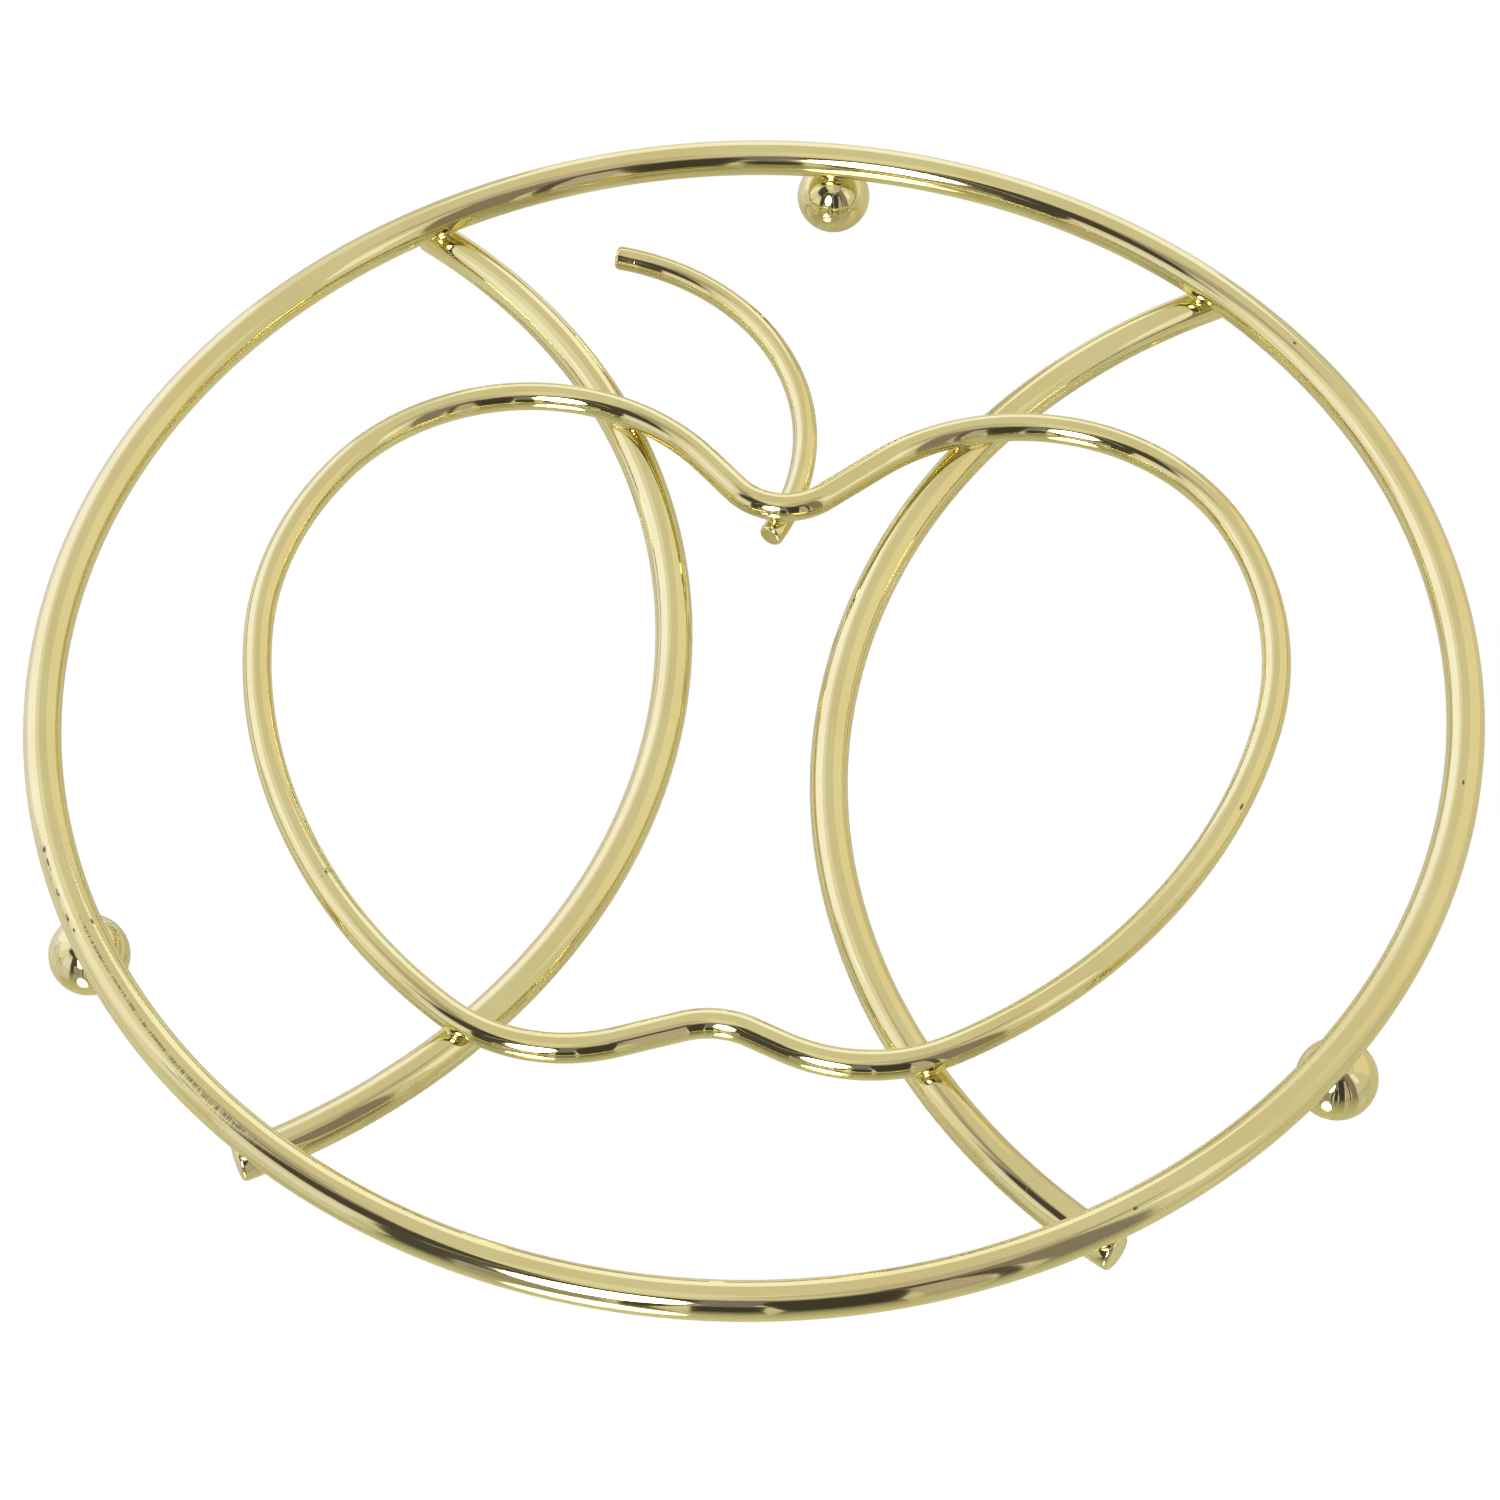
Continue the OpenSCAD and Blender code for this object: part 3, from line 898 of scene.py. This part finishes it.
def ring_wear(finish, place):
    """A satin stretch, a ground one, and dark marks where the layer broke."""
    along = finish.node("ShaderNodeSeparateXYZ", {}, {"Vector": place})
    satin = along.ramp(*SATIN_FROM) * along.ramp(*SATIN_TO)
    ground = along.ramp(*GROUND_TO) + along.ramp(*GROUND_FROM)
    broken = finish.noise(place, BREAK_SCALE, 2, BREAK_STRETCH).ramp(0.42, 0.54)
    teeth = finish.noise(place, TOOTH_SCALE, 1, ACROSS_WIRE).ramp(0.44, 0.54)
    bare = all_spots(finish, place, RING_PITS) + all_spots(finish, place, RING_DASHES) * broken
    bare = bare + COMB_DEPTH * all_spots(finish, place, RING_COMB) * teeth
    bare = bare + SCRATCH_DEPTH * all_spots(finish, place, RING_SCRATCHES)
    return satin, ground, bare


def apple_wear(finish, place):
    """Marks across the wire at its kink, and two pits."""
    kinked = finish.spot(place, *APPLE_KINK)
    broken = finish.noise(place, KINK_SCALE, 2, ACROSS_WIRE).ramp(0.58, 0.68)
    pits = all_spots(finish, place, APPLE_PITS)
    return 0.2 * kinked, kinked, pits + KINK_DEPTH * kinked * broken


# %% Wear of the other pieces
HAIR_SCALE, HAIR_PATCH_SCALE, HAIR_WIDTH = 300, 130, 0.008
SCUFF_SCALE, SCUFF_WIDTH = 800, 0.03
GROUND_SCALE, SOOT_SCALE = 900, 900


def curled_line(noise, width):
    """A thin curled line, drawn where a noise passes its middle value."""
    return noise.ramp(0.5 - width, 0.5) * noise.ramp(0.5 + width, 0.5)


def hairlines(finish, place):
    """A few curled hairline scratches."""
    curl = finish.noise(place, HAIR_SCALE, 2)
    few = finish.noise(place, HAIR_PATCH_SCALE, 1).ramp(0.6, 0.66)
    return curled_line(curl, HAIR_WIDTH) * few


def light_wear(finish, place):
    """The bows and the stem have hairlines and nothing else."""
    scratch = hairlines(finish, place)
    return 0.1 * scratch, 0.2 * scratch, 0.15 * scratch


def ball_wear(finish, place):
    """The balls are clean but for curled scuffs on the left one."""
    curl = finish.noise(place, SCUFF_SCALE, 1)
    scuff = all_spots(finish, place, BALL_SCUFFS) * curled_line(curl, SCUFF_WIDTH)
    return 0.3 * scuff, scuff, 0.8 * scuff


def ground_wear(finish, place):
    """A butt weld was ground with its wire, so it has the same marks across it."""
    return 0.1 * finish.noise(place, GROUND_SCALE, 1), 1.0, 0.0


def weld_wear(finish, place):
    """Melted metal is rippled all over, with a few sooty specks under the layer."""
    soot = finish.noise(place, SOOT_SCALE, 3).ramp(0.62, 0.75)
    return 0.25 * soot, 0.6, 0.3 * soot


# %% The finishes
finishes = {
    "ring_wire": plating("ring_plating", ring_wear),
    "bow_wire": plating("bow_plating", light_wear),
    "apple_wire": plating("apple_plating", apple_wear),
    "stem_wire": plating("stem_plating", light_wear),
    "foot_ball": plating("ball_plating", ball_wear, None),
    "weld_metal": plating("weld_plating", weld_wear, None, WELD_PLATING),
}
ground_plating = plating("ground_weld_plating", ground_wear)
print("finishes:", [finish.name for finish in (*finishes.values(), ground_plating)])

# %% [markdown]
# ## Putting the pieces on the frame
#
# Nothing on the trivet moves, so every piece rides on the same body. Each takes the place of the
# node that it was measured from. The balls, wires and welds get their finish by their slot. Only
# the two butt welds differ from their slot's finish, because they were ground with their wires.

# %% Pieces, slots and nodes
carried = {
    "ring_wire": [(ring, "outer_ring")],
    "bow_wire": [(bows[LEFT], "left_bow"), (bows[RIGHT], "right_bow")],
    "apple_wire": [(apple, "apple_outline")],
    "stem_wire": [(stem, "stem")],
    "foot_ball": [(ball, f"{word}_foot") for word, ball in balls.items()],
    "weld_metal": [(weld, node) for node, weld in welds.items()]
    + [(ring_seam, "ring_seam_weld"), (apple_seam, "apple_seam_weld")],
}
for slot, pieces in carried.items():
    for piece, node in pieces:
        piece.data.materials.clear()
        piece.data.materials.append(finishes[slot])
        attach(piece, "root")
        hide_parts(node)
    print(slot, "covers", [node for piece, node in pieces])
for seam in (ring_seam, apple_seam):
    seam.data.materials[0] = ground_plating

# %% [markdown]
# ## The white sheet
#
# The trivet lies on a sheet of white acrylic with a glossy film, which mirrors the room where it
# is seen at a shallow angle. It could be lit until it is pure white, but then the wires would
# mirror that too and lose their olive lower edges. Here it is brighter only where it is seen
# directly, as in a retouched catalogue picture.

# %% White sheet
TABLE_SPAN = 8.0
# The sheet's two tones are partly its own off-white and partly painted gold light. Their yellow
# stands in for light that the plated wires throw onto it.
SHEET_TONE_WITH_GOLD_GLOW, SHEET_PALER_TONE_WITH_GOLD_GLOW = (0.755, 0.750, 0.595, 1), (0.785, 0.780, 0.625, 1)
SHEET_IOR, SHEET_ROUGHNESS, SHEET_CLOUDED = 1.4, 0.03, 0.02
SHEET_CLOUD_SCALE, SHEET_WAVE_SCALE, SHEET_WAVE = 30, 40, 3e-6
FILM_TONE, FILM_ROUGHNESS, FILM_GLOSS = (0.8, 0.8, 0.8, 1), 0.04, 0.3
PAPER_BRIGHTNESS, SHEET_RETOUCH = 1.025, 0.96
bpy.ops.object.select_all(action="DESELECT")
bpy.ops.mesh.primitive_plane_add(size=TABLE_SPAN, location=(0, 0, 0))
table = bpy.context.object
table.name = "light_table"
acrylic = Finish("white_acrylic")
table_place = acrylic.own_place()
table_cloud = acrylic.noise(table_place, SHEET_CLOUD_SCALE, 3)
table_wave = SHEET_WAVE * acrylic.noise(table_place, SHEET_WAVE_SCALE, 1)
table_shader = acrylic.node(
    "ShaderNodeBsdfPrincipled",
    {},
    {
        "Base Color": acrylic.blend(table_cloud, SHEET_TONE_WITH_GOLD_GLOW, SHEET_PALER_TONE_WITH_GOLD_GLOW),
        "Roughness": SHEET_ROUGHNESS + SHEET_CLOUDED * table_cloud,
        "IOR": SHEET_IOR,
        "Normal": acrylic.bump(table_wave),
    },
)
film_edge = acrylic.node("ShaderNodeLayerWeight", {}, {"Blend": FILM_GLOSS}, output="Facing")
film = acrylic.node(
    "ShaderNodeBsdfGlossy", {}, {"Color": FILM_TONE, "Roughness": FILM_ROUGHNESS}
)
glossy_sheet = acrylic.node("ShaderNodeMixShader", {}, {0: film_edge, 1: table_shader, 2: film})
paper_white = acrylic.node(
    "ShaderNodeEmission", {}, {"Color": (1, 1, 1, 1), "Strength": PAPER_BRIGHTNESS}
)
seen_directly = acrylic.node("ShaderNodeLightPath", {}, {})
retouched = acrylic.node(
    "ShaderNodeMixShader", {}, {0: SHEET_RETOUCH * seen_directly, 1: glossy_sheet, 2: paper_white}
)
table.data.materials.append(acrylic.finish_with(retouched))
print("sheet:", [round(side, 2) for side in table.dimensions[:2]], "m")

# %% [markdown]
# ## The studio
#
# A mirror-like wire shows the whole room, so everything in it is placed by the direction that it
# is mirrored from. Broad soft lights hang behind the trivet and to its left, a window glows on
# the right, and a round softbox behind the camera on the left makes the bright spots on the
# balls. The rest of the room is dark. It could be left out, but it matters as much as the
# lights: cards that glow with their own dim light stand for it, and they draw the wires' dark
# bands.

# %% Where a light or a card goes
LIGHT_REACH = 1.4
CARD_REACH = 1.8


def studio_place(azimuths, elevations, reach):
    """The place, width and height of a panel that fills a range of azimuths and elevations.
    Azimuths run clockwise from straight ahead of the camera."""
    azimuth = math.radians(sum(azimuths) / 2 - CAMERA_AZIMUTH)
    elevation = math.radians(sum(elevations) / 2)
    place = reach * Vector((
        math.sin(azimuth) * math.cos(elevation),
        math.cos(azimuth) * math.cos(elevation),
        math.sin(elevation),
    ))
    across = math.radians(azimuths[1] - azimuths[0]) * math.cos(elevation)
    up = math.radians(elevations[1] - elevations[0])
    return place, 2 * reach * math.tan(across / 2), 2 * reach * math.tan(up / 2)


# %% Soft lights
# The level dims the whole studio. The meter is watts per square metre for a brightness of 1.
STUDIO_LEVEL = 0.77
LIGHT_METER = 4


def soft_light(name, azimuths, elevations, brightness, colour, shape="RECTANGLE"):
    """An area light of a given brightness, as a camera would meter it."""
    place, width, height = studio_place(azimuths, elevations, LIGHT_REACH)
    bpy.ops.object.select_all(action="DESELECT")
    bpy.ops.object.light_add(type="AREA", location=place)
    lamp = bpy.context.object
    lamp.name = name
    lamp.data.shape = shape
    lamp.data.size, lamp.data.size_y = width, height
    lamp.data.energy = LIGHT_METER * width * height * brightness * STUDIO_LEVEL
    lamp.data.color = colour
    lamp.rotation_euler = place.to_track_quat("Z", "Y").to_euler()
    lamp.visible_camera = False


# %% Dark cards
CEILING = (0.95, 0.90, 0.86)
# The cards give out their own dim light, and this tint colours that glow.
CARD_GLOW_TINT = (1.08, 0.95, 1.04)


def dark_card(name, azimuths, elevations, tone, soft=(0, 0, 0, 4), reach=CARD_REACH):
    """A dark card that glows with its own dim light, standing in for a dim part of the room. The
    wires mirror it and the camera never sees it. Soft says how many degrees of its left, right,
    lower and upper edge fade into the room."""
    place, width, height = studio_place(azimuths, elevations, reach)
    bpy.ops.object.select_all(action="DESELECT")
    bpy.ops.mesh.primitive_plane_add(size=1, location=place)
    card = bpy.context.object
    card.name = name
    card.scale = (width, height, 1)
    card.rotation_euler = place.to_track_quat("Z", "Y").to_euler()
    card.visible_camera = False
    card_glow = Finish(name + "_felt")
    spot = card_glow.own_place()
    across, up = (
        card_glow.node("ShaderNodeSeparateXYZ", {}, {"Vector": spot}, output=axis) for axis in (0, 1)
    )
    wide, tall = azimuths[1] - azimuths[0], elevations[1] - elevations[0]
    left, right, low, high = soft
    share = up.ramp(0.5, 0.5 - high / tall)
    edges = (across, 0.5, left / wide), (across, -0.5, right / wide), (up, -0.5, low / tall)
    for line, edge, fade in edges:
        if fade:
            share = share * line.ramp(edge, edge * (1 - 2 * fade))
    colour = card_glow.blend(share, (*CEILING, 1), (*(tone * part for part in CARD_GLOW_TINT), 1))
    shader = card_glow.node("ShaderNodeEmission", {}, {"Color": colour, "Strength": STUDIO_LEVEL})
    card.data.materials.append(card_glow.finish_with(shader))


# %% The ceiling and the lights
world = bpy.data.worlds.new("room")
bpy.context.scene.world = world
world.use_nodes = True
world.node_tree.nodes["Background"].inputs["Color"].default_value = (*CEILING, 1)
world.node_tree.nodes["Background"].inputs["Strength"].default_value = STUDIO_LEVEL

DAYLIGHT = (0.6, 0.65, 1)
BLUE_DAYLIGHT = (0.375, 0.406, 1)
LAMPLIGHT = (1, 0.75, 0.45)
soft_light("key_softbox", (-108, -12), (-2, 56), 0.25, DAYLIGHT)
soft_light("key_softbox_middle", (-72, -22), (-2, 40), 0.64, BLUE_DAYLIGHT)
soft_light("key_softbox_side", (-94, -72), (13, 44), 0.4, BLUE_DAYLIGHT)
soft_light("left_strip", (-130, -110), (0, 26), 0.4, BLUE_DAYLIGHT)
soft_light("back_softbox", (-10, 24), (0, 36), 0.66, DAYLIGHT)
soft_light("side_strip", (114, 126), (22, 48), 0.5, DAYLIGHT)
soft_light("window_right", (30, 95), (0, 50), 0.16, LAMPLIGHT)
soft_light("ceiling_left", (-178, -105), (66, 86), 0.13, (1, 1, 1))
soft_light("front_softbox", (-170, -147), (15, 49), 8, (1, 1, 1), "ELLIPSE")
soft_light("wall_glow_behind_camera", (-180, -171), (30, 58), 0.2, BLUE_DAYLIGHT)

# %% The room's dark parts
dark_card("room_left_of_camera", (-171, -130), (-2, 60), 0.09)
dark_card("room_behind_camera_low", (-180, -171), (-2, 27), 0.07, (0, 0, 0, 2))
dark_card("room_behind_camera_high", (-180, -171), (27, 61), 0.17)
dark_card("room_right_of_camera", (162, 180), (-2, 64), 0.07, (0, 0, 0, 17))
dark_card("wall_right_of_camera", (130, 149), (-2, 66), 0.32, (2, 0, 0, 8))
dark_card("gap_right_of_camera", (149, 153), (-2, 62), 0.12)
dark_card("door_right_of_camera", (153, 162), (46, 62), 0.15)
dark_card("door_edge_right_of_camera", (153, 162), (-2, 46), 0.63, (0, 0, 0, 1))
dark_card("wall_high_right", (92, 178), (61, 86), 0.72, (8, 2, 1, 8))
dark_card("shelf_high_left", (-139, -94), (33, 68), 0.09, (3, 10, 4, 5))
dark_card("low_box_left", (-163, -143), (-2, 17), 0.45, (3, 1, 0, 3), 1.75)
dark_card("beam_high_left", (-102, -70), (57, 70), 0.42, (0, 3, 2, 4))
dark_card("beam_high_right", (94, 132), (62, 69), 0.48, (8, 0, 2, 2), 1.75)
dark_card("beam_high_back", (-70, -28), (59, 71), 0.62, (3, 14, 2, 4))
print("cards:", len([name for name in bpy.data.materials.keys() if name.endswith("_felt")]))
